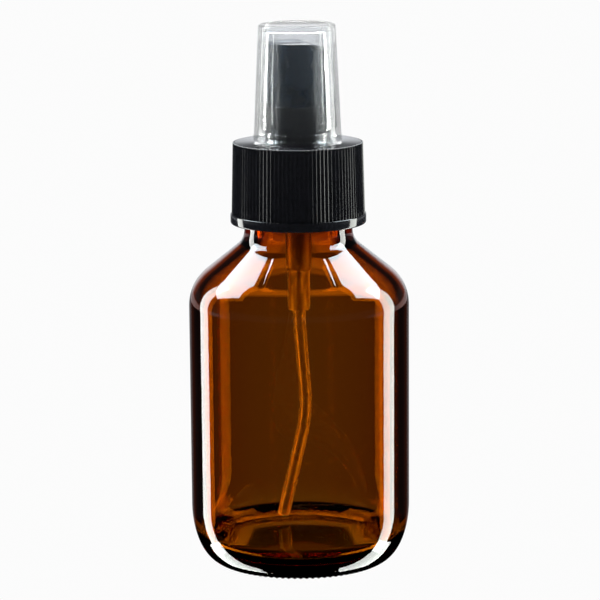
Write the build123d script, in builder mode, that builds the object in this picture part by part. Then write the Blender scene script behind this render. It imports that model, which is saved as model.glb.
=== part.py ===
"""Fine-mist spray bottle: an amber glass bottle with a 28 mm screw neck, and a finger pump in a
ribbed screw closure under a clear push-on overcap.

Millimetres, +Z up, with the origin at the middle of the ring that the bottle stands on. The spray
leaves the nozzle along -X. Every piece is one solid in its own STEP file.
"""

import os
from math import cos, radians, sin, tan

from build123d import *

# ---------------------------------------------------------------- driving sizes
body_radius = 24.5  # outside of the glass
body_wall = 2.3
heel_width = 6.4  # how far the heel curves in, and how high it starts
heel_height = 12.9
shoulder_start = 58.2  # top of the straight glass wall
shoulder_slope = 51.0  # the shoulder's lean from upright, in degrees
closure_bottom = 76.7
closure_top = 94.7  # upper face of the closure's top plate
actuator_top = 116.7
overcap_top = 120.7

# ---------------------------------------------------------------- glass finish and thread
glass_top = 91.4
neck_root_radius = 12.0
neck_radius = 12.55  # wall between the thread turns
bore_radius = 8.6
thread_pitch = 25.4 / 6
thread_crest_radius = 13.45
bottle_thread_start = 83.0
bottle_thread_turns = 1.5
closure_thread_turns = 1.25
thread_gap = 1.5165  # closure ridge below the bottle ridge, centre to centre
bearing_inner_radius = 16.8
bearing_outer_radius = body_radius - heel_width
push_up = 2.4
floor_edge = 4.1  # inside floor, at the foot of its corner and in the middle
floor_middle = 4.9
floor_corner = 4.2

# ---------------------------------------------------------------- pump stack
plate_thickness = 1.2
plate_under = closure_top - plate_thickness
flange_thickness = 1.1
gasket_thickness = plate_under - flange_thickness - glass_top
spigot_radius = 5.05  # housing spigot that the closure turns round
plate_hole_radius = 5.2
spigot_top = 96.6
mouth_radius = 4.2  # recess in the spigot that the stem guide snaps into
mouth_floor = 93.0
guide_radius = 5.5
chamber_radius = 2.75  # bore that the piston runs in
chamber_outer = 3.8
chamber_floor = 78.0
spring_tube_outer = 2.85
spring_tube_bore = 2.0
spring_seat = 66.0
socket_step = 65.4
socket_radius = 2.45
socket_bottom = 57.4
socket_bore_top = 61.8
tube_radius = 1.45
tube_bore = 0.75
ball_radius = 1.0
ball_seat_hole = 0.6
ball_seat_level = 63.5
ball_lip_level = 65.5
wire_radius = 0.225
spring_radius = 1.525  # middle of the wire
spring_turns = 20
rod_flange_level = 83.0  # underside, where the spring pushes
piston_bottom = 86.6
piston_height = 3.3
piston_lag = 0.6
stem_radius = 1.75
stem_bore = 0.85
stem_bottom = 88.2
stem_top = 107.5
stem_collar_level = piston_bottom + piston_height + piston_lag
stem_collar_height = 0.9

# ---------------------------------------------------------------- closure, actuator and overcap
closure_top_radius = 14.15
closure_foot_radius = 14.55
rib_depth = 0.28
rib_count = 100
band_height = 2.15
band_radius = 15.05
skirt_bore = 13.6
lip_bore = 13.0  # inside the skirt, above the thread
collar_radius = 7.1
collar_bore = 6.62
collar_top = 103.0
actuator_radius = 6.5
actuator_wall = 0.9
actuator_skirt = 101.1
pad_offset = 1.95  # where the finger slope starts, behind the axis
pad_angle = 20.0
nozzle_level = 112.5
nozzle_radius = 2.0
overcap_top_radius = 8.55
overcap_foot_radius = 9.7
overcap_wall = 1.0
overcap_bottom = 95.0

os.makedirs("parts", exist_ok=True)


def save(piece, name):
    """Names one finished piece and writes it to its own file."""
    piece.part.label = name
    export_step(piece.part, f"parts/{name}.step")


def shoulder(foot, body, neck, outer_bend, inner_bend):
    """Draws a bottle shoulder from the straight wall up to the neck, and gives the point it ends at."""
    turn = radians(shoulder_slope)
    run = (body - neck - (outer_bend + inner_bend) * (1 - cos(turn))) / sin(turn)
    lower = JernArc((body, foot), (0, 1), outer_bend, shoulder_slope)
    slope = PolarLine(lower @ 1, run, direction=lower % 1)
    upper = JernArc(slope @ 1, slope % 1, inner_bend, -shoulder_slope)
    return upper @ 1


# ---------------------------------------------------------------- amber bottle
# Blown soda-lime glass with a thick base, a raised middle underneath and a 1.5-turn screw thread.
with BuildPart() as amber_bottle:
    with BuildSketch(Plane.XZ):
        with BuildLine():
            dome = TangentArc((0, push_up), (15.4, 0.75), tangent=(1, 0))
            Spline(dome @ 1, (bearing_inner_radius, 0), tangents=[(1, -0.35), (1, 0)])
            Line((bearing_inner_radius, 0), (bearing_outer_radius, 0))
            heel_centre = (bearing_outer_radius, heel_height)
            EllipticalCenterArc(heel_centre, heel_width, heel_height, start_angle=270, arc_size=90)
            Line((body_radius, heel_height), (body_radius, shoulder_start))
            neck_foot = shoulder(shoulder_start, body_radius, neck_root_radius, 9.9, 4.33)
            lip = FilletPolyline(
                neck_foot,
                (neck_root_radius, 78.2),
                (neck_radius, 79.0),
                (neck_radius, glass_top),
                (bore_radius, glass_top),
                (bore_radius, 77.0),
                radius=0.5,
            )
            bore_foot = shoulder(58.0, body_radius - body_wall, bore_radius, 7.8, 6.2)
            Line(lip @ 1, bore_foot)
            inside = body_radius - body_wall
            Line((inside, 58.0), (inside, floor_edge + floor_corner))
            corner = JernArc((inside, floor_edge + floor_corner), (0, -1), floor_corner, -90)
            TangentArc((0, floor_middle), corner @ 1, tangent=(1, 0))
            Line((0, floor_middle), (0, push_up))
        make_face()
    revolve(axis=Axis.Z)
    with BuildSketch(Plane.XZ) as bottle_ridge:
        with BuildLine():
            Polyline(
                (neck_radius - 0.4, bottle_thread_start - 1.15),
                (thread_crest_radius, bottle_thread_start - 0.45),
                (thread_crest_radius, bottle_thread_start + 0.45),
                (neck_radius - 0.4, bottle_thread_start + 1.15),
                close=True,
            )
        make_face()
    bottle_helix = Helix(
        thread_pitch,
        thread_pitch * bottle_thread_turns,
        thread_crest_radius,
        center=(0, 0, bottle_thread_start),
    )
    sweep(bottle_ridge.sketch, path=bottle_helix, is_frenet=True)
save(amber_bottle, "amber_bottle")

# ---------------------------------------------------------------- neck gasket
# Soft polyethylene washer pinched between the glass lip and the housing flange.
with BuildPart() as neck_gasket:
    with BuildSketch(Plane.XY.offset(glass_top)):
        Circle(12.3)
        Circle(chamber_outer + 0.05, mode=Mode.SUBTRACT)
    extrude(amount=gasket_thickness)
save(neck_gasket, "neck_gasket")

# ---------------------------------------------------------------- pump housing
# Clear polypropylene barrel: flange and spigot on top, piston chamber, spring tube, ball seat, and
# the socket that the dip tube pushes into.
with BuildPart() as pump_housing:
    with BuildSketch(Plane.XZ):
        with BuildLine():
            Polyline(
                (mouth_radius, spigot_top),
                (spigot_radius, spigot_top),
                (spigot_radius, plate_under),
                (11.4, plate_under),
                (11.4, plate_under - flange_thickness),
                (chamber_outer, plate_under - flange_thickness),
                (chamber_outer, chamber_floor + 0.6),
                (spring_tube_outer, chamber_floor - 1.2),
                (spring_tube_outer, socket_step),
                (socket_radius, socket_step),
                (socket_radius, socket_bottom),
                (tube_radius + 0.35, socket_bottom),
                (tube_radius, socket_bottom + 0.7),
                (tube_radius, socket_bore_top),
                (ball_seat_hole, socket_bore_top),
                (ball_seat_hole, ball_seat_level),
                (ball_radius + 0.3, ball_seat_level + ball_radius + 0.3 - ball_seat_hole),
                (ball_radius + 0.3, ball_lip_level),
                (ball_radius - 0.1, ball_lip_level),
                (ball_radius - 0.1, spring_seat),
                (spring_tube_bore, spring_seat),
                (spring_tube_bore, chamber_floor),
                (chamber_radius, chamber_floor + 0.75),
                (chamber_radius, mouth_floor),
                (mouth_radius, mouth_floor),
                close=True,
            )
        make_face()
    revolve(axis=Axis.Z)
    # vent that lets air into the bottle once the piston has gone down
    with BuildSketch(Plane.XZ.offset(-chamber_outer - 1)):
        with Locations((0, 90.9)):
            Circle(0.35)
    extrude(amount=3, mode=Mode.SUBTRACT)
save(pump_housing, "pump_housing")

# ---------------------------------------------------------------- stem guide
# Ring that snaps into the housing's mouth, keeps the closure on the pump and guides the stem.
with BuildPart() as stem_guide:
    with BuildSketch(Plane.XZ):
        with BuildLine():
            Polyline(
                (stem_radius + 0.08, stem_collar_level + stem_collar_height + 0.1),
                (chamber_radius - 0.05, stem_collar_level + stem_collar_height + 0.1),
                (chamber_radius - 0.05, mouth_floor + 0.05),
                (mouth_radius - 0.03, mouth_floor + 0.05),
                (mouth_radius - 0.03, spigot_top + 0.05),
                (spigot_radius + 0.03, spigot_top + 0.05),
                (spigot_radius + 0.03, closure_top + 0.15),
                (guide_radius, closure_top + 0.15),
                (guide_radius, spigot_top + 0.65),
                (guide_radius - 0.35, spigot_top + 1.0),
                (3.0, spigot_top + 1.0),
                (2.6, spigot_top + 1.9),
                (stem_radius + 0.08, spigot_top + 1.9),
                close=True,
            )
        make_face()
    revolve(axis=Axis.Z)
save(stem_guide, "stem_guide")

# ---------------------------------------------------------------- stem
# Hollow plunger that carries the liquid up to the actuator; its collar drives the piston down.
with BuildPart() as stem:
    with BuildSketch(Plane.XZ):
        with BuildLine():
            Polyline(
                (stem_bore, stem_bottom),
                (1.3, stem_bottom),
                (1.3, stem_collar_level),
                (2.45, stem_collar_level),
                (2.45, stem_collar_level + stem_collar_height),
                (stem_radius, stem_collar_level + stem_collar_height),
                (stem_radius, stem_top - 0.3),
                (stem_radius - 0.3, stem_top),
                (stem_bore, stem_top),
                close=True,
            )
        make_face()
    revolve(axis=Axis.Z)
save(stem, "stem")

# ---------------------------------------------------------------- valve rod
# Plunger tail: a fluted shank pressed into the stem, a cone that closes the piston from below, a
# flange that sits on the spring, and a pin that keeps the spring straight.
with BuildPart() as valve_rod:
    with BuildSketch(Plane.XZ):
        with BuildLine():
            Polyline(
                (0, 76.2),
                (0.7, 76.2),
                (0.95, 76.6),
                (0.95, rod_flange_level),
                (1.85, rod_flange_level),
                (1.85, rod_flange_level + 0.8),
                (1.3, rod_flange_level + 1.1),
                (1.3, piston_bottom - 0.6),
                (1.75, piston_bottom - 0.45),
                (0.84, piston_bottom + 0.46),
                (0.84, stem_bottom + 2.8),
                (0, stem_bottom + 2.8),
                close=True,
            )
        make_face()
    revolve(axis=Axis.Z)
    # three flutes take the liquid past the shank into the stem
    with BuildSketch(Plane.XY.offset(piston_bottom + 0.3)):
        with PolarLocations(0.84, 3):
            Circle(0.3)
    extrude(amount=6, mode=Mode.SUBTRACT)
save(valve_rod, "valve_rod")

# ---------------------------------------------------------------- piston
# Soft polyethylene sleeve with a sealing lip up and down against the chamber wall.
lip_radius = chamber_radius - 0.03
with BuildPart() as piston:
    with BuildSketch(Plane.XZ):
        with BuildLine():
            Polyline(
                (1.33, piston_bottom + 0.1),
                (1.8, piston_bottom - 0.35),
                (2.1, piston_bottom),
                (2.1, piston_bottom + 0.8),
                (lip_radius - 0.25, piston_bottom),
                (lip_radius, piston_bottom),
                (lip_radius, piston_bottom + 1.0),
                (2.4, piston_bottom + 1.4),
                (2.4, piston_bottom + 2.0),
                (lip_radius, piston_bottom + 2.5),
                (lip_radius, piston_bottom + piston_height),
                (lip_radius - 0.25, piston_bottom + piston_height),
                (2.1, piston_bottom + 2.5),
                (2.1, piston_bottom + piston_height - 0.05),
                (1.33, piston_bottom + piston_height - 0.05),
                close=True,
            )
        make_face()
    revolve(axis=Axis.Z)
save(piston, "piston")

# ---------------------------------------------------------------- main spring
# Stainless wire, open coils, between the housing's ledge and the valve rod's flange.
spring_length = rod_flange_level - spring_seat - 2 * wire_radius - 0.04
with BuildPart() as main_spring:
    spring_helix = Helix(
        spring_length / spring_turns,
        spring_length,
        spring_radius,
        center=(0, 0, spring_seat + wire_radius + 0.02),
    )
    with BuildSketch(Plane(origin=spring_helix @ 0, z_dir=spring_helix % 0)):
        Circle(wire_radius)
    sweep(path=spring_helix, is_frenet=True)
save(main_spring, "main_spring")

# ---------------------------------------------------------------- inlet ball
# Steel check ball, just clear of its cone.
seat_touch = ball_seat_level - ball_seat_hole + ball_radius * 2**0.5
with BuildPart() as inlet_ball:
    with Locations((0, 0, seat_touch + 0.02)):
        Sphere(ball_radius)
save(inlet_ball, "inlet_ball")

# ---------------------------------------------------------------- dip tube
# Polyethylene tube with the set of the coil it was cut from: it bows one way, then runs to the
# corner of the floor.
tube_route = [
    (0, 0, socket_bore_top - 0.05),
    (0, 0, 54.5),
    (3.3, 5.7, 32.0),
    (-0.2, 14.1, 6.4),
]
tube_bends = [16, 60]
with BuildPart() as dip_tube:
    with BuildLine() as tube_line:
        FilletPolyline(*tube_route, radius=tube_bends)
    with BuildSketch(Plane(origin=tube_line.line @ 0, z_dir=tube_line.line % 0)):
        Circle(tube_radius)
        Circle(tube_bore, mode=Mode.SUBTRACT)
    sweep()
save(dip_tube, "dip_tube")

# ---------------------------------------------------------------- screw closure
# Black polypropylene moulding: ribbed skirt with a plain band, inside thread, top plate and the
# collar that guides the actuator and that the overcap grips.
band_top = closure_bottom + band_height
ridge_start = bottle_thread_start - thread_gap
with BuildPart() as screw_closure:
    with BuildSketch(Plane.XZ):
        with BuildLine():
            Polyline(
                (lip_bore, plate_under),
                (lip_bore, glass_top + 0.8),
                (skirt_bore, glass_top),
                (skirt_bore, closure_bottom),
                (band_radius - 0.35, closure_bottom),
                (band_radius, closure_bottom + 0.35),
                (band_radius, band_top - 0.1),
                (closure_foot_radius, band_top),
                (closure_top_radius, closure_top - 0.35),
                (closure_top_radius - 0.35, closure_top),
                (collar_radius + 0.2, closure_top),
                (collar_radius, closure_top + 0.2),
                (collar_radius, collar_top - 0.15),
                (collar_radius - 0.15, collar_top),
                (collar_bore, collar_top),
                (collar_bore, closure_top),
                (plate_hole_radius, closure_top),
                (plate_hole_radius, plate_under),
                close=True,
            )
        make_face()
    revolve(axis=Axis.Z)
    # grip ribs, from the band up to the edge of the top
    rib_foot = band_top - 0.05
    rib_head = closure_top - 0.35
    rib_lean = (closure_foot_radius - closure_top_radius) * (rib_head - rib_foot) / (closure_top - band_top)
    with BuildSketch(Plane.XY.offset(rib_foot)) as rib_feet:
        with PolarLocations(closure_foot_radius - 0.1, rib_count):
            Polygon((0, -0.3), (rib_depth + 0.1, 0), (0, 0.3), align=None)
    with BuildSketch(Plane.XY.offset(rib_head)) as rib_heads:
        with PolarLocations(closure_foot_radius - 0.1 - rib_lean, rib_count):
            Polygon((0, -0.3), (rib_depth + 0.1, 0), (0, 0.3), align=None)
    for foot, head in zip(rib_feet.sketch.faces(), rib_heads.sketch.faces()):
        loft([foot, head])
    with BuildSketch(Plane.XZ) as closure_ridge:
        with BuildLine():
            Polyline(
                (skirt_bore + 0.2, ridge_start - 1.1),
                (neck_radius + 0.2, ridge_start - 0.4),
                (neck_radius + 0.2, ridge_start + 0.4),
                (skirt_bore + 0.2, ridge_start + 1.1),
                close=True,
            )
        make_face()
    closure_helix = Helix(
        thread_pitch,
        thread_pitch * closure_thread_turns,
        skirt_bore,
        center=(0, 0, ridge_start),
    )
    sweep(closure_ridge.sketch, path=closure_helix, is_frenet=True)
save(screw_closure, "screw_closure")

# ---------------------------------------------------------------- actuator
# Black finger button: skirt in the collar, stem socket, spray channel and a sloped finger pad.
post_radius = 2.9
pin_radius = 0.9
cavity_top = 113.4
with BuildPart() as actuator:
    with BuildSketch(Plane.XY.offset(actuator_skirt)):
        Circle(actuator_radius)
    extrude(amount=actuator_top - actuator_skirt)
    fillet(actuator.edges().group_by(Axis.Z)[-1], 0.35)
    with BuildSketch(Plane.XY.offset(actuator_skirt)):
        Circle(actuator_radius - actuator_wall)
        Circle(post_radius, mode=Mode.SUBTRACT)
    extrude(amount=cavity_top - actuator_skirt, mode=Mode.SUBTRACT)
    # the post stops short of the stem guide, and takes the stem
    with BuildSketch(Plane.XY.offset(actuator_skirt)):
        Circle(post_radius)
    extrude(amount=stem_top - 2.6 - actuator_skirt, mode=Mode.SUBTRACT)
    with BuildSketch(Plane.XY.offset(actuator_skirt)):
        Circle(stem_radius + 0.03)
    extrude(amount=stem_top + 0.05 - actuator_skirt, mode=Mode.SUBTRACT)
    # spray boss across the cavity, then the insert's pocket round a core pin
    with BuildSketch(Plane.YZ.offset(-actuator_radius + 0.1)):
        with Locations((0, nozzle_level)):
            Circle(nozzle_radius + 0.7)
    extrude(amount=actuator_radius - 1.0)
    with BuildSketch(Plane.YZ.offset(-actuator_radius - 1)):
        with Locations((0, nozzle_level)):
            Circle(nozzle_radius)
    extrude(amount=4.1, mode=Mode.SUBTRACT)
    with BuildSketch(Plane.YZ.offset(-actuator_radius + 1.6)):
        with Locations((0, nozzle_level)):
            Circle(pin_radius)
    extrude(amount=2.0)
    # liquid way: up from the stem, then out beside the pin
    with BuildSketch(Plane.XY.offset(stem_top - 0.1)):
        Circle(stem_bore)
    extrude(amount=nozzle_level + 1.5 - stem_top, mode=Mode.SUBTRACT)
    with BuildSketch(Plane.YZ.offset(-actuator_radius + 3.0)):
        with Locations((0, nozzle_level + 1.25)):
            Circle(0.3)
    extrude(amount=3.4, mode=Mode.SUBTRACT)
    # finger pad
    with BuildSketch(Plane.XZ.offset(-10)):
        with BuildLine():
            reach = 12.0
            Polyline(
                (pad_offset, actuator_top),
                (pad_offset + reach, actuator_top - reach * tan(radians(pad_angle))),
                (pad_offset + reach, actuator_top + 3),
                (pad_offset, actuator_top + 3),
                close=True,
            )
        make_face()
    extrude(amount=20, mode=Mode.SUBTRACT)
save(actuator, "actuator")

# ---------------------------------------------------------------- nozzle insert
# Small cup pressed over the core pin, with the spray hole in a shallow cone.
insert_front = -actuator_radius + 0.35
insert_back = -actuator_radius + 3.0
with BuildPart() as nozzle_insert:
    with BuildSketch(Plane.XZ):
        with BuildLine():
            Polyline(
                (insert_back, nozzle_level + pin_radius + 0.03),
                (insert_back, nozzle_level + nozzle_radius - 0.02),
                (insert_front, nozzle_level + nozzle_radius - 0.02),
                (insert_front, nozzle_level + 1.0),
                (insert_front + 0.5, nozzle_level + 0.17),
                (insert_front + 0.95, nozzle_level + 0.17),
                (insert_front + 0.95, nozzle_level + pin_radius + 0.03),
                close=True,
            )
        make_face()
    revolve(axis=Axis((0, 0, nozzle_level), (1, 0, 0)))
save(nozzle_insert, "nozzle_insert")

# ---------------------------------------------------------------- overcap
# Clear dust cover with a slight draft, a flat top and a thick rim with two grip beads inside.
grip_radius = collar_radius + 0.12
with BuildPart() as overcap:
    with BuildSketch(Plane.XZ):
        with BuildLine():
            FilletPolyline(
                (0, overcap_top),
                (overcap_top_radius, overcap_top),
                (overcap_foot_radius - 0.05, 96.6),
                radius=0.7,
            )
            Polyline(
                (overcap_foot_radius - 0.05, 96.6),
                (overcap_foot_radius + 0.15, 96.2),
                (overcap_foot_radius + 0.15, overcap_bottom + 0.2),
                (overcap_foot_radius - 0.05, overcap_bottom),
                (grip_radius + 0.6, overcap_bottom),
                (grip_radius + 0.3, overcap_bottom + 0.5),
                (grip_radius, overcap_bottom + 0.8),
                (grip_radius + 0.3, overcap_bottom + 1.1),
                (grip_radius + 0.3, overcap_bottom + 1.7),
                (grip_radius, overcap_bottom + 2.0),
                (grip_radius + 0.3, overcap_bottom + 2.3),
                (overcap_foot_radius - overcap_wall - 0.1, overcap_bottom + 2.9),
                (overcap_top_radius - overcap_wall, overcap_top - 1.1),
                (0, overcap_top - 1.1),
                (0, overcap_top),
            )
        make_face()
    revolve(axis=Axis.Z)
save(overcap, "overcap")
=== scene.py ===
"""A fine-mist spray bottle in amber glass, put together from the foot up."""

from math import asin, atan2, cos, hypot, pi, radians, sin

import bpy
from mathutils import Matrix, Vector


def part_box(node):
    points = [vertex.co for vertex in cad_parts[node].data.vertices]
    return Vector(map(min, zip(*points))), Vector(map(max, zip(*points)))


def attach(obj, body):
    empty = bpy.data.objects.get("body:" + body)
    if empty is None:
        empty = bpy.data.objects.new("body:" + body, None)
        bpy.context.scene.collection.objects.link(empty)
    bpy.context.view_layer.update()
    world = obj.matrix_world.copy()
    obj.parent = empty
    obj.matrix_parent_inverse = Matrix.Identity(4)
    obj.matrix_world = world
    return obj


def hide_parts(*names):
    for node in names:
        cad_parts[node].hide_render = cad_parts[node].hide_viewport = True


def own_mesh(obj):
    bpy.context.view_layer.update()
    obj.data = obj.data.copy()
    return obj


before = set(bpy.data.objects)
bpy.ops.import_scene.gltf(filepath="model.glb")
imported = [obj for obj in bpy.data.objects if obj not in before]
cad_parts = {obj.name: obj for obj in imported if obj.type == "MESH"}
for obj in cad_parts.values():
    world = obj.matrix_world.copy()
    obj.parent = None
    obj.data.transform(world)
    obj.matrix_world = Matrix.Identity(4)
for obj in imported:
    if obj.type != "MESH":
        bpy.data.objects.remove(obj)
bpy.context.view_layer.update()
MM = 0.001

# Amber bottle. Blown soda-lime glass, coloured through, with a thick base, a raised middle
# underneath, a knurled ring to stand on and a screw thread round the neck. The glass is thicker
# at the heel, and its surface is very slightly wavy from the mould.
glass_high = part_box("amber_bottle")[1]
body_radius = glass_high[0] / MM
glass_top = glass_high[2] / MM
heel_width = 6.4
heel_height = 12.9
foot_outer = body_radius - heel_width
foot_inner = 16.8
push_up = 2.4
dome_edge = (15.4, 0.75)
shoulder_foot = 58.2
shoulder_slope = radians(51)
neck_root = 12.0
neck_wall = 12.55
bore = 8.6
inside_wall = body_radius - 2.3
floor_edge = 4.1
floor_middle = 4.9
floor_corner = 4.2
floor_radius = inside_wall - floor_corner
knurl_count = 90
knurl_depth = 0.3
knurl_inner = foot_inner - 0.6
knurl_outer = foot_outer + 3.0
knurl_height = 1.6
thread_pitch = 25.4 / 6
thread_foot = 83.0
thread_turns = 1.5


def arc(centre, across, up, start, end, steps):
    """Points round part of an ellipse, both ends included, with angles in degrees."""
    turns = [radians(start + (end - start) * step / steps) for step in range(steps + 1)]
    return [(centre[0] + across * cos(turn), centre[1] + up * sin(turn)) for turn in turns]


def dome(top, edge, steps):
    """Points of a shallow dome, from the axis out to its edge."""
    rise = top - edge[1]
    radius = (edge[0] ** 2 + rise**2) / (2 * rise)
    reach = asin(edge[0] / radius)
    turns = [reach * step / steps for step in range(steps + 1)]
    return [(radius * sin(turn), top - radius + radius * cos(turn)) for turn in turns]


def shoulder(foot, body, neck, outer_bend, inner_bend):
    """Points of a bottle shoulder, from the straight wall up to the neck."""
    lean = 1 - cos(shoulder_slope)
    run = (body - neck - (outer_bend + inner_bend) * lean) / sin(shoulder_slope)
    rise = (outer_bend + inner_bend) * sin(shoulder_slope) + run * cos(shoulder_slope)
    slope = shoulder_slope * 180 / pi
    lower = arc((body - outer_bend, foot), outer_bend, outer_bend, 0, slope, 18)
    upper = arc((neck + inner_bend, foot + rise), inner_bend, inner_bend, 180 + slope, 180, 14)
    return lower + upper


def only(piece):
    """Selects one object and nothing else."""
    bpy.ops.object.select_all(action="DESELECT")
    piece.select_set(True)
    bpy.context.view_layer.objects.active = piece


def spun(name, outline, sides, level=None):
    """Turns an outline of (radius, height) points in millimetres round the bottle's axis, or, with
    a level, an outline of (radius, x) points round the line along X at that height."""
    curve = bpy.data.curves.new(name, "CURVE")
    curve.dimensions = "3D"
    line = curve.splines.new("POLY")
    line.points.add(len(outline) - 1)
    for point, (radius, along) in zip(line.points, outline):
        place = (radius, 0, along) if level is None else (along, 0, level + radius)
        point.co = (*[value * MM for value in place], 1)
    piece = bpy.data.objects.new(name, curve)
    bpy.context.collection.objects.link(piece)
    only(piece)
    bpy.ops.object.convert(target="MESH")
    bpy.ops.object.mode_set(mode="EDIT")
    bpy.ops.mesh.select_all(action="SELECT")
    centre = (0, 0, 0 if level is None else level * MM)
    axis = (0, 0, 1) if level is None else (1, 0, 0)
    bpy.ops.mesh.spin(steps=sides, angle=2 * pi, center=centre, axis=axis)
    bpy.ops.mesh.select_all(action="SELECT")
    bpy.ops.mesh.remove_doubles(threshold=0.002 * MM)
    bpy.ops.mesh.normals_make_consistent(inside=False)
    bpy.ops.object.mode_set(mode="OBJECT")
    return piece


def smoothed(piece, angle=35):
    """Shades a piece smooth, apart from its real edges."""
    only(piece)
    bpy.ops.object.shade_smooth_by_angle(angle=radians(angle))


def applied(piece, kind, **settings):
    """Adds one modifier to a piece and applies it."""
    only(piece)
    modifier = piece.modifiers.new(kind.title(), kind)
    for key, value in settings.items():
        setattr(modifier, key, value)
    bpy.ops.object.modifier_apply(modifier=modifier.name)


def ridge(name, section, pitch, turns):
    """A screw thread: a section of (radius, height) points in millimetres carried up a helix."""
    curve = bpy.data.curves.new(name, "CURVE")
    curve.dimensions = "3D"
    line = curve.splines.new("POLY")
    line.points.add(len(section) - 1)
    line.use_cyclic_u = True
    for point, (radius, height) in zip(line.points, section):
        point.co = (radius * MM, 0, height * MM, 1)
    piece = bpy.data.objects.new(name, curve)
    bpy.context.collection.objects.link(piece)
    only(piece)
    bpy.ops.object.convert(target="MESH")
    steps = int(96 * turns)
    applied(
        piece,
        "SCREW",
        angle=2 * pi * turns,
        screw_offset=pitch * turns * MM,
        steps=steps,
        render_steps=steps,
        use_merge_vertices=False,
    )
    bpy.ops.object.mode_set(mode="EDIT")
    bpy.ops.mesh.select_all(action="SELECT")
    bpy.ops.mesh.fill_holes(sides=0)
    bpy.ops.mesh.select_all(action="SELECT")
    bpy.ops.mesh.normals_make_consistent(inside=False)
    bpy.ops.object.mode_set(mode="OBJECT")
    return piece


def joined(piece, other):
    """Fuses a second shape into a piece."""
    applied(piece, "BOOLEAN", operation="UNION", solver="EXACT", object=other)
    bpy.data.objects.remove(other)


class Number:
    """A number that changes over a surface. Arithmetic on it adds Math nodes."""

    def __init__(self, finish, socket):
        self.finish = finish
        self.socket = socket

    def math(self, operation, first, second=0.0):
        node = self.finish.node("ShaderNodeMath", {"operation": operation}, {0: first, 1: second})
        return Number(self.finish, node.outputs[0])

    def __add__(self, other):
        return self.math("ADD", self, other)

    def __sub__(self, other):
        return self.math("SUBTRACT", self, other)

    def __rsub__(self, other):
        return self.math("SUBTRACT", other, self)

    def __mul__(self, other):
        return self.math("MULTIPLY", self, other)

    def __pow__(self, other):
        return self.math("POWER", self, other)

    __radd__ = __add__
    __rmul__ = __mul__


class Finish:
    """One material: a Principled shader with its plain settings, and the nodes that vary it."""

    def __init__(self, name, settings):
        self.material = bpy.data.materials.new(name)
        self.material.use_nodes = True
        self.tree = self.material.node_tree
        self.shader = self.tree.nodes["Principled BSDF"]
        self.place = self.node("ShaderNodeTexCoord").outputs["Object"]
        self.set(self.shader, settings)

    def set(self, node, sockets):
        for key, value in sockets.items():
            socket = node.inputs[key]
            if isinstance(value, Number):
                self.tree.links.new(value.socket, socket)
            elif isinstance(value, bpy.types.NodeSocket):
                self.tree.links.new(value, socket)
            else:
                socket.default_value = value

    def node(self, kind, settings=None, sockets=None):
        node = self.tree.nodes.new(kind)
        for key, value in (settings or {}).items():
            setattr(node, key, value)
        self.set(node, sockets or {})
        return node

    def noise(self, scale, detail=2.0, stretch=(1, 1, 1)):
        """Cloudy noise from 0 to 1, with its scale per metre, squeezed along any axis."""
        mapping = self.node("ShaderNodeMapping", {}, {"Vector": self.place, "Scale": stretch})
        sockets = {"Vector": mapping.outputs[0], "Scale": scale, "Detail": detail}
        return Number(self, self.node("ShaderNodeTexNoise", {}, sockets).outputs["Fac"])

    def shade(self, factor, first, second):
        """A colour between two colours."""
        node = self.node("ShaderNodeMix", {"data_type": "RGBA"}, {0: factor, 6: first, 7: second})
        return node.outputs[2]

    def bump(self, height, distance):
        """Raises the surface by a height from 0 to 1 times a distance in millimetres."""
        sockets = {"Height": height, "Distance": distance * MM, "Strength": 1.0}
        node = self.node("ShaderNodeBump", {}, sockets)
        self.set(self.shader, {"Normal": node.outputs[0]})


def placed(piece, finish, body, slot, *nodes):
    """Gives a new piece its finish and its body, and hides the solids that it stands for."""
    piece.data.materials.clear()
    piece.data.materials.append(finish.material)
    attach(piece, body)
    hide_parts(*nodes)


lip = arc((neck_wall - 0.6, glass_top - 0.6), 0.6, 0.6, 0, 90, 6)
inner_lip = arc((bore + 0.6, glass_top - 0.6), 0.6, 0.6, 90, 180, 6)
glass_outline = (
    dome(push_up, dome_edge, 10)
    + [(15.9, 0.52), (16.3, 0.2), (foot_inner, 0), (17.2, 0), (17.7, 0)]
    + arc((foot_outer, heel_height), heel_width, heel_height, -90, 0, 26)
    + [(body_radius, 25), (body_radius, 42)]
    + shoulder(shoulder_foot, body_radius, neck_root, 9.9, 4.33)
    + [(neck_root, 78.2), (neck_root + 0.1, 78.5), (neck_wall - 0.1, 78.8), (neck_wall, 79.1)]
    + lip
    + inner_lip
    + shoulder(58.0, inside_wall, bore, 7.8, 6.2)[::-1]
    + [(inside_wall, 42), (inside_wall, 25)]
    + arc((floor_radius, floor_edge + floor_corner), floor_corner, floor_corner, 0, -90, 16)
    + dome(floor_middle, (floor_radius, floor_edge), 8)[-2::-1]
)
bottle = spun("bottle_glass", glass_outline, 360)
for vertex in bottle.data.vertices:
    radius = hypot(vertex.co.x, vertex.co.y) / MM
    height = vertex.co.z / MM
    if knurl_inner < radius < knurl_outer and height < knurl_height:
        notch = 0.5 + 0.5 * cos(knurl_count * atan2(vertex.co.y, vertex.co.x))
        vertex.co.z += knurl_depth * notch * MM
thread_section = [
    (neck_wall - 0.3, thread_foot - 1.0),
    (13.2, thread_foot - 0.55),
    (13.45, thread_foot - 0.3),
    (13.45, thread_foot + 0.3),
    (13.2, thread_foot + 0.55),
    (neck_wall - 0.3, thread_foot + 1.0),
]
joined(bottle, ridge("neck_thread", thread_section, thread_pitch, thread_turns))
smoothed(bottle)

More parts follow.
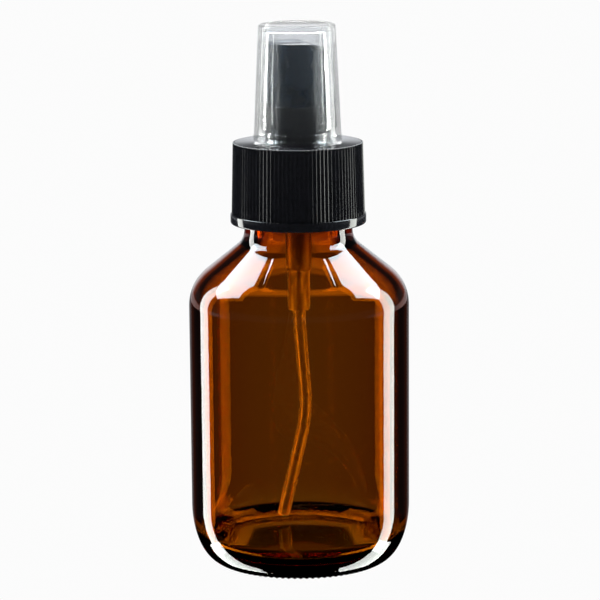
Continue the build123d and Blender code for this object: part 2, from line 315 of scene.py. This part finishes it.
amber = Finish(
    "amber_glass_finish",
    {"Base Color": (1, 1, 1, 1), "Transmission Weight": 1.0, "IOR": 1.52, "Roughness": 0.0},
)
ripple = amber.noise(70, 1.0, (1, 1, 0.35))
seeds = amber.noise(900, 0.0) ** 14
amber.bump(ripple + seeds * 0.05, 0.05)
amber.set(amber.shader, {"Roughness": amber.noise(40) ** 4 * 0.06})
colour = {"Color": (0.851, 0.62, 0.0, 1), "Density": 1400.0}
amber_volume = amber.node("ShaderNodeVolumeAbsorption", {}, colour)
output = amber.tree.nodes["Material Output"]
amber.set(output, {"Volume": amber_volume.outputs[0]})
placed(bottle, amber, "bottle", "amber_glass", "amber_bottle")

# Dip tube. Thin-walled natural polyethylene, cut from a coil, so that it keeps a bow. It is
# pushed into the housing's socket and ends at the corner of the floor.
tube_radius = 1.43
tube_wall = 0.68
tube_route = [
    (0, 0, 61.7),
    (0, 0, 58.2),
    (0, 0, 54.5),
    (1.65, 2.85, 43.2),
    (3.3, 5.7, 32.0),
    (1.7, 9.5, 20.4),
    (-0.2, 14.1, 6.4),
]
curve = bpy.data.curves.new("tube_line", "CURVE")
curve.dimensions = "3D"
curve.bevel_depth = tube_radius * MM
curve.bevel_resolution = 10
line = curve.splines.new("NURBS")
line.points.add(len(tube_route) - 1)
for point, place in zip(line.points, tube_route):
    point.co = (*[value * MM for value in place], 1)
line.use_endpoint_u = True
line.order_u = 3
line.resolution_u = 24
tube = bpy.data.objects.new("tube", curve)
bpy.context.collection.objects.link(tube)
only(tube)
bpy.ops.object.convert(target="MESH")
applied(tube, "SOLIDIFY", thickness=tube_wall * MM, offset=-1)
smoothed(tube)

natural = Finish("natural_polyethylene", {"Transmission Weight": 0.92, "IOR": 1.5})
cloud = natural.noise(180, 3.0, (1, 1, 0.3))
natural.set(
    natural.shader,
    {
        "Base Color": natural.shade(cloud, (0.93, 0.93, 0.9, 1), (0.99, 0.99, 0.97, 1)),
        "Roughness": cloud * 0.1 + 0.22,
    },
)
natural.bump(natural.noise(1400, 2.0, (1, 1, 0.1)), 0.01)
placed(tube, natural, "pump", "natural_plastic", "dip_tube")

# Pump housing. One injection moulding in hazy natural polypropylene: flange, piston chamber,
# spring tube, ball seat and the socket for the dip tube.
housing_low, housing_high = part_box("pump_housing")
spigot_top = housing_high[2] / MM
flange_radius = housing_high[0] / MM
socket_bottom = housing_low[2] / MM
plate_under = 93.5
flange_under = plate_under - 1.1
barrel_outline = [
    (4.2, spigot_top),
    (4.9, spigot_top),
    (5.05, spigot_top - 0.15),
    (5.05, plate_under),
    (flange_radius - 0.1, plate_under),
    (flange_radius, plate_under - 0.1),
    (flange_radius, flange_under + 0.1),
    (flange_radius - 0.1, flange_under),
    (3.8, flange_under),
    (3.8, 78.6),
    (3.7, 78.3),
    (2.95, 77.0),
    (2.85, 76.7),
    (2.85, 65.5),
    (2.75, 65.4),
    (2.45, 65.3),
    (2.45, socket_bottom + 0.1),
    (2.35, socket_bottom),
    (1.8, socket_bottom),
    (1.46, socket_bottom + 0.7),
    (1.46, 61.8),
    (0.6, 61.8),
    (0.6, 63.5),
    (1.3, 64.2),
    (1.3, 65.5),
    (0.9, 65.5),
    (0.9, 66.0),
    (2.0, 66.0),
    (2.0, 78.0),
    (2.75, 78.75),
    (2.75, 93.0),
    (4.2, 93.0),
    (4.2, spigot_top),
]
housing = spun("housing", barrel_outline, 96)
smoothed(housing, 30)
polypropylene = Finish("natural_polypropylene", {"Transmission Weight": 0.92, "IOR": 1.49})
flow = polypropylene.noise(220, 2.0, (1, 1, 0.2))
polypropylene.set(
    polypropylene.shader,
    {
        "Base Color": polypropylene.shade(flow, (0.94, 0.93, 0.9, 1), (0.99, 0.99, 0.97, 1)),
        "Roughness": flow * 0.1 + 0.28,
    },
)
polypropylene.bump(polypropylene.noise(900, 1.0), 0.008)
placed(housing, polypropylene, "pump", "natural_plastic", "pump_housing")

# Main spring. Drawn stainless wire in open coils between the housing's ledge and the valve rod.
spring_low, spring_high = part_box("main_spring")
wire_radius = 0.225
coil_radius = 1.525
coil_count = 20
spring_length = (spring_high[2] - spring_low[2]) / MM
coil_foot = spring_low[2] / MM + wire_radius
coil_length = spring_length - 2 * wire_radius
wire_section = arc((coil_radius, coil_foot), wire_radius, wire_radius, 0, 324, 9)
spring = ridge("spring", wire_section, coil_length / coil_count, coil_count)
smoothed(spring, 60)
steel = Finish("drawn_steel", {"Metallic": 1.0, "Roughness": 0.25})
draw = steel.noise(2500, 2.0, (1, 1, 0.4))
steel.set(
    steel.shader,
    {
        "Base Color": steel.shade(draw, (0.5, 0.49, 0.48, 1), (0.68, 0.67, 0.66, 1)),
        "Roughness": draw * 0.2 + 0.15,
    },
)
placed(spring, steel, "pump", "spring_steel", "main_spring")
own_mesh(spring)

# Small pieces that stay inside: the steel ball, the acetal stem, rod and guide, and the softer
# polyethylene of the piston and the neck gasket.
ball_steel = Finish("polished_steel", {"Metallic": 1.0, "Base Color": (0.75, 0.75, 0.76, 1)})
ball_steel.set(ball_steel.shader, {"Roughness": ball_steel.noise(1200) * 0.12 + 0.03})
acetal = Finish("white_acetal", {})
grain = acetal.noise(600, 3.0)
acetal.set(
    acetal.shader,
    {
        "Base Color": acetal.shade(grain, (0.8, 0.8, 0.78, 1), (0.9, 0.9, 0.88, 1)),
        "Roughness": grain * 0.2 + 0.25,
    },
)
foam = Finish("gasket_foam_finish", {"Roughness": 0.7})
cells = foam.noise(3000, 3.0)
foam.set(foam.shader, {"Base Color": foam.shade(cells, (0.7, 0.7, 0.68, 1), (0.9, 0.9, 0.88, 1))})
foam.bump(cells, 0.05)
inner_finishes = {
    "inlet_ball": ball_steel,
    "stem": acetal,
    "valve_rod": acetal,
    "stem_guide": acetal,
    "piston": foam,
    "neck_gasket": foam,
}
for node, finish in inner_finishes.items():
    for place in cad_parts[node].material_slots:
        place.material = finish.material

# Screw closure. Black polypropylene: a skirt with a hundred fine grip ribs over a plain band, the
# thread inside it, a flat top plate and the collar that the button slides in.
closure_low, closure_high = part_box("screw_closure")
closure_foot = closure_low[2] / MM
collar_top = closure_high[2] / MM
plate_top = 94.7
band_radius = closure_high[0] / MM
band_top = closure_foot + 2.15
rib_root_top = 14.15
rib_root_foot = 14.55
rib_count = 100
rib_depth = 0.27
skirt_bore = 13.6
collar_radius = 7.1
collar_bore = 6.62
skirt_rings = [band_top + 0.05 + (plate_top - 0.3 - band_top) * step / 8 for step in range(9)]
rib_lean = (rib_root_foot - rib_root_top) / (plate_top - band_top)
closure_outline = (
    [
        (13.0, plate_under),
        (13.0, 92.2),
        (skirt_bore, 91.4),
        (skirt_bore, closure_foot + 0.2),
        (skirt_bore + 0.2, closure_foot),
    ]
    + arc((band_radius - 0.35, closure_foot + 0.35), 0.35, 0.35, -90, 0, 5)
    + arc((band_radius - 0.2, band_top - 0.2), 0.2, 0.2, 0, 90, 4)
    + [(rib_root_foot + 0.02, band_top)]
    + [(rib_root_foot - (height - band_top) * rib_lean, height) for height in skirt_rings]
    + arc((rib_root_top - 0.25, plate_top - 0.25), 0.25, 0.25, 20, 90, 4)
    + [(collar_radius + 0.2, plate_top)]
    + arc((collar_radius + 0.2, plate_top + 0.2), 0.2, 0.2, -90, -180, 4)
    + arc((collar_radius - 0.28, collar_top - 0.28), 0.28, 0.28, 0, 90, 6)
    + arc((collar_bore + 0.1, collar_top - 0.1), 0.1, 0.1, 90, 180, 4)
    + [(collar_bore, plate_top), (5.2, plate_top), (5.2, plate_under), (13.0, plate_under)]
)
closure = spun("closure", closure_outline, rib_count * 8)
for vertex in closure.data.vertices:
    radius = hypot(vertex.co.x, vertex.co.y)
    height = vertex.co.z / MM
    if radius > (rib_root_top - 0.3) * MM and band_top + 0.02 < height < plate_top - 0.02:
        wave = cos(rib_count * atan2(vertex.co.y, vertex.co.x))
        push = 1 + rib_depth * max(0.0, 0.3 + 0.7 * wave) * MM / radius
        vertex.co.x *= push
        vertex.co.y *= push
smoothed(closure, 50)
closure_thread_foot = thread_foot - 1.52
closure_section = [
    (skirt_bore + 0.15, closure_thread_foot - 1.0),
    (neck_wall + 0.45, closure_thread_foot - 0.55),
    (neck_wall + 0.2, closure_thread_foot - 0.3),
    (neck_wall + 0.2, closure_thread_foot + 0.3),
    (neck_wall + 0.45, closure_thread_foot + 0.55),
    (skirt_bore + 0.15, closure_thread_foot + 1.0),
]
closure_ridge = ridge("closure_thread", closure_section, thread_pitch, 1.25)
black = Finish("black_polypropylene", {"Specular IOR Level": 0.5})
swirl = black.noise(260, 4.0)
black.set(
    black.shader,
    {
        "Base Color": black.shade(swirl, (0.004, 0.004, 0.005, 1), (0.008, 0.008, 0.01, 1)),
        "Roughness": swirl * 0.05 + 0.07,
    },
)
black.bump(black.noise(1500, 2.0), 0.0015)
placed(closure, black, "closure", "black_plastic", "screw_closure")
closure_ridge.data.materials.append(black.material)
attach(closure_ridge, "closure")

# Actuator. Black button in the same plastic: a skirt that slides in the collar, a post that takes
# the stem, a flat top with a pad sloped for the fingertip, and a pocket for the nozzle insert.
button_low, button_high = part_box("actuator")
button_foot = button_low[2] / MM
button_top = button_high[2] / MM
button_radius = button_high[1] / MM
button_bore = button_radius - 0.9
nozzle_level = 112.5
nozzle_radius = 2.0
pad_start = 1.95
pad_angle = radians(20)
button_outline = [
    (0, button_top),
    (button_radius, button_top),
    (button_radius, button_foot),
    (button_bore, button_foot),
    (button_bore, 113.4),
    (2.9, 113.4),
    (2.9, 104.9),
    (1.78, 104.9),
    (1.78, 107.55),
    (0, 107.55),
]
button = spun("button", button_outline, 160)
reach = 12.0
bpy.ops.mesh.primitive_cube_add(size=1, location=(0, 0, 0))
scoop = bpy.context.object
bpy.ops.object.mode_set(mode="EDIT")
bpy.ops.mesh.select_all(action="SELECT")
bpy.ops.transform.resize(value=(reach * MM, 4 * reach * MM, reach * MM))
bpy.ops.object.mode_set(mode="OBJECT")
slope = Vector((cos(pad_angle), 0, -sin(pad_angle)))
lift = Vector((sin(pad_angle), 0, cos(pad_angle)))
start = Vector((pad_start, 0, button_top))
for vertex in scoop.data.vertices:
    along = slope * (vertex.co.x / MM + reach / 2 - 0.001)
    above = lift * (vertex.co.z / MM + reach / 2)
    across = vertex.co.y / MM
    place = start + along + above
    vertex.co = Vector((place.x, across, place.z)) * MM
applied(button, "BOOLEAN", operation="DIFFERENCE", solver="EXACT", object=scoop)
bpy.data.objects.remove(scoop)
pocket_outline = [
    (0, -button_radius - 1),
    (nozzle_radius, -button_radius - 1),
    (nozzle_radius, -button_radius + 3.1),
    (0, -button_radius + 3.1),
]
pocket = spun("pocket", pocket_outline, 64, nozzle_level)
applied(button, "BOOLEAN", operation="DIFFERENCE", solver="EXACT", object=pocket)
bpy.data.objects.remove(pocket)
applied(
    button,
    "BEVEL",
    width=0.22 * MM,
    segments=3,
    limit_method="ANGLE",
    angle_limit=radians(14),
)
smoothed(button, 30)
# The button is real black plastic, but both shades are lifted and tinted blue-grey. This is a
# painted blue sheen that stands in for bluish reflections and for the veil of the overcap over the
# button.
black_with_painted_blue_sheen = Finish("black_polypropylene_painted_blue_sheen", {"Specular IOR Level": 0.5})
haze = black_with_painted_blue_sheen.noise(200, 3.0)
black_with_painted_blue_sheen.set(
    black_with_painted_blue_sheen.shader,
    {
        "Base Color": black_with_painted_blue_sheen.shade(haze, (0.006, 0.011, 0.018, 1), (0.009, 0.016, 0.026, 1)),
        "Roughness": haze * 0.04 + 0.09,
    },
)
black_with_painted_blue_sheen.bump(black_with_painted_blue_sheen.noise(1500, 2.0), 0.002)
placed(button, black_with_painted_blue_sheen, "button", "black_plastic", "actuator")

# Nozzle insert. A small cup in the button's plastic, pushed into the pocket a little below flush,
# with a dished face and the spray hole in its middle.
insert_front = -button_radius + 0.35
insert_outline = (
    [(0, insert_front + 1.4), (0.17, insert_front + 1.4), (0.17, insert_front + 0.5)]
    + [(0.95, insert_front + 0.08), (1.15, insert_front)]
    + [(nozzle_radius - 0.12, insert_front), (nozzle_radius - 0.02, insert_front + 0.1)]
    + [(nozzle_radius - 0.02, insert_front + 2.6), (0, insert_front + 2.6)]
)
insert = spun("insert", insert_outline, 64, nozzle_level)
smoothed(insert)
# The insert shares the button's black plastic, with the same painted blue-grey sheen.
placed(insert, black_with_painted_blue_sheen, "button", "black_plastic", "nozzle_insert")

# Overcap. Clear moulded styrene with a little draft, a shallow dished top, and a thick rim with
# two grip beads inside it. Its Alpha lets part of the light straight through, for a plain view of
# the button.
cap_low, cap_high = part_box("overcap")
cap_foot = cap_low[2] / MM
cap_top = cap_high[2] / MM
rim_radius = cap_high[0] / MM
cap_top_radius = 8.55
cap_wall = 1.0
grip = collar_radius + 0.12
cap_outline = (
    [(0, cap_top - 0.28), (6.6, cap_top - 0.28), (7.0, cap_top - 0.2), (7.3, cap_top - 0.03)]
    + arc((cap_top_radius - 0.62, cap_top - 0.6), 0.6, 0.6, 90, 3, 8)
    + [(rim_radius - 0.2, 96.7), (rim_radius - 0.12, 96.45)]
    + [(rim_radius, 96.2), (rim_radius, cap_foot + 0.3), (rim_radius - 0.1, cap_foot + 0.08)]
    + [(rim_radius - 0.25, cap_foot), (grip + 0.7, cap_foot), (grip + 0.55, cap_foot + 0.05)]
    + arc((grip + 0.3, cap_foot + 0.8), 0.3, 0.3, -90, -270, 6)
    + arc((grip + 0.3, cap_foot + 2.0), 0.3, 0.3, -90, -270, 6)
    + [(grip + 0.7, cap_foot + 2.45), (rim_radius - 1.25, cap_foot + 2.9)]
    + [(rim_radius - 1.15, cap_foot + 3.3)]
    + arc((cap_top_radius - cap_wall - 0.5, cap_top - 1.7), 0.5, 0.5, 3, 90, 6)
    + [(0, cap_top - 1.2)]
)
cap = spun("cap", cap_outline, 256)
smoothed(cap)
clear = Finish(
    "clear_styrene",
    {"Base Color": (0.96, 0.98, 1, 1), "Transmission Weight": 0.96, "IOR": 1.42, "Alpha": 0.38},
)
clear.set(clear.shader, {"Roughness": clear.noise(90) * 0.04 + 0.02})
clear.bump(clear.noise(60, 1.0, (1, 1, 0.4)), 0.012)
placed(cap, clear, "cover", "clear_plastic", "overcap")

# Studio. The camera sees plain white. Reflections see dark surroundings with a bright band behind
# the object, tall soft strips and angled panels at its sides, low panels beside the table, and a
# light high up behind.
view_turn = radians(15.7)
view_tilt = radians(10.55)
view_distance = 0.62
ahead = Vector((sin(view_turn), cos(view_turn), 0))
aside = Vector((cos(view_turn), -sin(view_turn), 0))
target = Vector((0, 0, 0.065))
floor_gap = 0.05

bpy.ops.mesh.primitive_plane_add(size=6, location=(0, 0, -floor_gap * MM))
floor = bpy.context.object
floor.name = "floor"
floor_finish = Finish("floor_finish", {"Base Color": (0.6, 0.6, 0.6, 1), "Roughness": 0.9})
paper = floor_finish.node("ShaderNodeEmission", {}, {"Color": (1, 1, 1, 1), "Strength": 0.97})
ray = floor_finish.node("ShaderNodeLightPath")
mix = floor_finish.node(
    "ShaderNodeMixShader",
    {},
    {0: ray.outputs["Is Camera Ray"], 1: floor_finish.shader.outputs[0], 2: paper.outputs[0]},
)
floor_output = floor_finish.tree.nodes["Material Output"]
floor_finish.set(floor_output, {"Surface": mix.outputs[0]})
floor.data.materials.append(floor_finish.material)
floor.visible_glossy = False
floor.visible_transmission = False
floor.visible_shadow = False

world = bpy.data.worlds.new("studio")
bpy.context.scene.world = world
world.use_nodes = True
nodes = world.node_tree.nodes
links = world.node_tree.links
seen = nodes["Background"]
seen.inputs["Color"].default_value = (1, 1, 1, 1)
around = nodes.new("ShaderNodeBackground")
direction = nodes.new("ShaderNodeTexCoord")
split = nodes.new("ShaderNodeSeparateXYZ")
links.new(direction.outputs["Generated"], split.inputs[0])


def band(source, low, high, dark, light):
    """A smooth step of brightness between two values of the source."""
    node = nodes.new("ShaderNodeMapRange")
    node.interpolation_type = "SMOOTHSTEP"
    for key, value in zip(("From Min", "From Max", "To Min", "To Max"), (low, high, dark, light)):
        node.inputs[key].default_value = value
    links.new(source, node.inputs["Value"])
    return node.outputs[0]


def combined(operation, first, second):
    """One number from two."""
    node = nodes.new("ShaderNodeMath")
    node.operation = operation
    links.new(first, node.inputs[0])
    links.new(second, node.inputs[1])
    return node.outputs[0]


facing = nodes.new("ShaderNodeVectorMath")
facing.operation = "DOT_PRODUCT"
facing.inputs[1].default_value = ahead
links.new(direction.outputs["Generated"], facing.inputs[0])
rise = split.outputs["Z"]
# Each band runs over the height of a direction, from -1 straight down to 1 straight up, or over how
# far it points the way that the camera looks, from -1 to 1.
walls = combined("MULTIPLY", band(rise, -0.112, -0.085, 0, 1), band(rise, 0.1, 0.22, 1, 0.2))
walls = combined("MULTIPLY", walls, band(facing.outputs["Value"], 0.88, 0.98, 0.05, 1.0))
sides = combined("MULTIPLY", band(rise, -0.132, -0.118, 0, 1), band(rise, -0.05, 0.0, 1, 0.05))
sides = combined("MULTIPLY", sides, band(facing.outputs["Value"], -0.5, 0.3, 0, 0.4))
table = combined("MULTIPLY", band(rise, -0.33, -0.28, 0, 0.22), band(rise, -0.112, -0.085, 1, 0))
table = combined("MULTIPLY", table, band(facing.outputs["Value"], 0.85, 0.97, 0.05, 1.0))
glow = combined("ADD", combined("MAXIMUM", walls, sides), table)
links.new(glow, around.inputs["Strength"])
around.inputs["Color"].default_value = (0.93, 0.96, 1, 1)
camera_ray = nodes.new("ShaderNodeLightPath")
choose = nodes.new("ShaderNodeMixShader")
links.new(camera_ray.outputs["Is Camera Ray"], choose.inputs[0])
links.new(around.outputs[0], choose.inputs[1])
links.new(seen.outputs[0], choose.inputs[2])
links.new(choose.outputs[0], nodes["World Output"].inputs["Surface"])


def softbox(name, bearing, rise, distance, width, height, power, colour, roll=0):
    """A rectangular soft light at a bearing from the viewer's side and an angle above the table,
    aimed at the object, turned about its aim, and seen only in reflections."""
    light = bpy.data.lights.new(name, "AREA")
    light.shape = "RECTANGLE"
    light.size = width
    light.size_y = height
    light.energy = power
    light.color = colour
    lamp = bpy.data.objects.new(name, light)
    turn = radians(bearing)
    tilt = radians(rise)
    way = (aside * sin(turn) - ahead * cos(turn)) * cos(tilt) + Vector((0, 0, sin(tilt)))
    lamp.location = target + way * distance
    lamp.rotation_euler = (-way).to_track_quat("-Z", "Y").to_euler()
    lamp.rotation_euler.rotate_axis("Z", radians(roll))
    lamp.visible_camera = False
    bpy.context.collection.objects.link(lamp)


softbox("left_strip", -116, 0, 0.62, 0.17, 1.1, 5.0, (0.98, 1, 0.96))
softbox("right_strip", 106, 0, 0.62, 0.2, 1.1, 6.1, (0.97, 1, 0.94))
softbox("left_panel", -109, 43, 0.7, 0.5, 0.36, 7.5, (0.82, 0.94, 1), -38)
softbox("right_panel", 105, 43, 0.7, 0.5, 0.36, 7.5, (0.82, 0.94, 1), 38)
softbox("left_table", -118, -52, 0.62, 0.25, 0.4, 2.8, (0.95, 1, 0.95))
softbox("right_table", 112, -52, 0.62, 0.25, 0.4, 2.8, (0.95, 1, 0.95))
softbox("rim_light", 180, 64, 0.7, 0.6, 0.5, 15, (1, 1, 1))

camera_data = bpy.data.cameras.new("camera")
camera_data.lens = 167.1
camera_data.sensor_width = 36
camera_data.shift_x = 0.002
camera_data.shift_y = -0.0437
camera_data.clip_start = 0.01
camera = bpy.data.objects.new("camera", camera_data)
camera.location = target - ahead * view_distance * cos(view_tilt)
camera.location.z = target.z + view_distance * sin(view_tilt)
look = (target - camera.location).to_track_quat("-Z", "Y").to_matrix().to_4x4()
look.translation = camera.location
camera.matrix_world = look
bpy.context.collection.objects.link(camera)
bpy.context.scene.camera = camera
bpy.context.view_layer.update()
camera.rotation_euler.rotate_axis("Z", radians(-0.45))
bpy.context.scene.view_settings.view_transform = "Standard"
